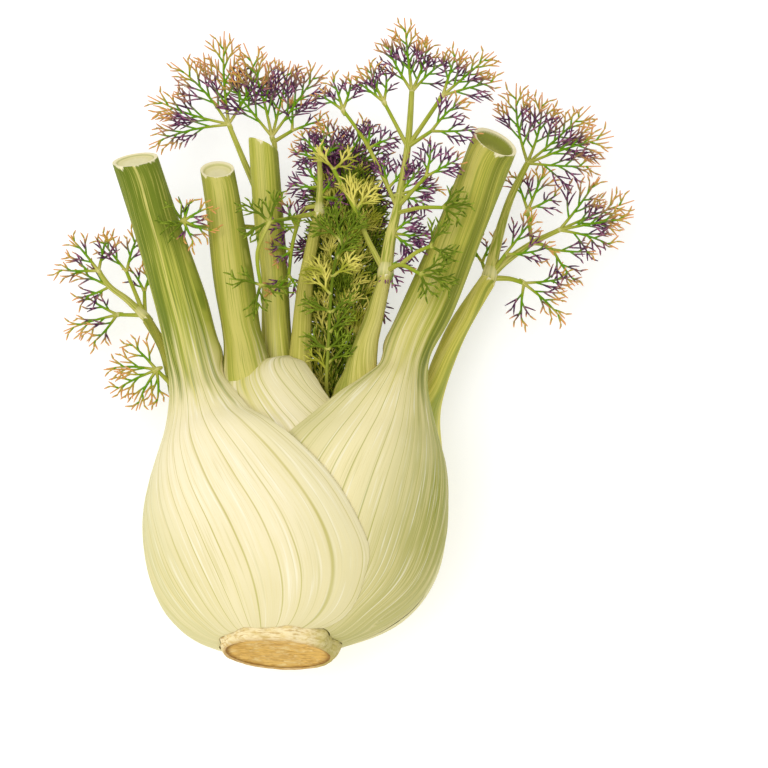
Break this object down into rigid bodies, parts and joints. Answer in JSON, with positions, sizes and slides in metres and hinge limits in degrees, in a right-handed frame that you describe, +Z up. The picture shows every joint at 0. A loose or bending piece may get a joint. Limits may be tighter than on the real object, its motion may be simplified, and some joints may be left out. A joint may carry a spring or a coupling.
{
  "type": "fennel bulb",
  "caption": "Trimmed fennel bulb lying on its back: overlapping ribbed leaf bases on a cut root, hollowed cut stalks and feathery fronds.",
  "frame": {"origin": "middle of the small flat spot on the back of the bulb, which lies on the surface", "axes": "+Y from the root end to the stalks, +X across the broad face towards the right stalk, +Z up from the surface"},
  "size_m": [0.2051, 0.2315, 0.0731],
  "materials": {
    "root_stem": "matt",
    "leaf_base": "satin",
    "stalk": "satin",
    "frond": "matt"
  },
  "bodies": {
    "root": {"stem_base": "root_stem", "leaf_heart": "leaf_base", "leaf_centre": "stalk", "leaf_left_third": "stalk", "leaf_slender": "stalk", "leaf_right_second": "stalk", "leaf_left_second": "leaf_base", "leaf_right_outer": "leaf_base", "leaf_left_outer": "leaf_base", "leaf_right_back": "leaf_base", "leaf_left_back": "leaf_base", "frond_right_back": "frond", "frond_left_back": "frond", "frond_left_low": "frond", "frond_slender": "frond", "frond_centre_right": "frond", "frond_centre_left": "frond", "frond_inner": "frond", "frond_heart": "frond"}
  },
  "joints": []
}
